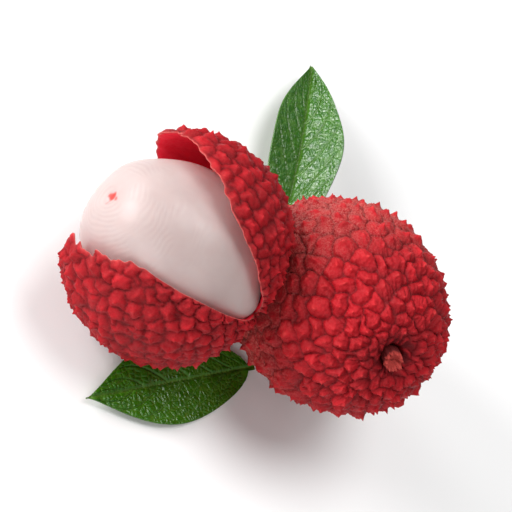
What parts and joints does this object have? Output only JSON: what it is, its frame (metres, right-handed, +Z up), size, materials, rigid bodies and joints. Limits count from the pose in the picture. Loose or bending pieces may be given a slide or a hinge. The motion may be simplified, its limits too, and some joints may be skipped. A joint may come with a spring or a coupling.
{
  "type": "bunch of lychees",
  "caption": "Lychees lying with glossy green leaves: a whole fruit in bumpy red skin, leaning on a half-peeled one whose white flesh sits in a split cup of skin.",
  "frame": {"origin": "on the surface that the bunch lies on, below the middle of its box", "axes": "+Z up, +Y along the longest side, from the peeled fruit past the whole one to the tip of the upper leaf"},
  "size_m": [0.0592, 0.087, 0.0393],
  "materials": {
    "skin": "rough red rind with pointed bumps, paler on their tops",
    "peel": "rough red rind outside, smooth dark red inside",
    "flesh": "moist, translucent white flesh",
    "stalk": "torn, dry stalk",
    "leaf": "glossy green leaf with a pale midrib"
  },
  "bodies": {
    "root": {"whole_lychee": "skin", "stem_stub": "stalk", "peeled_skin": "peel", "peeled_flesh": "flesh", "leaf_upper": "leaf", "leaf_lower": "leaf"}
  },
  "joints": []
}
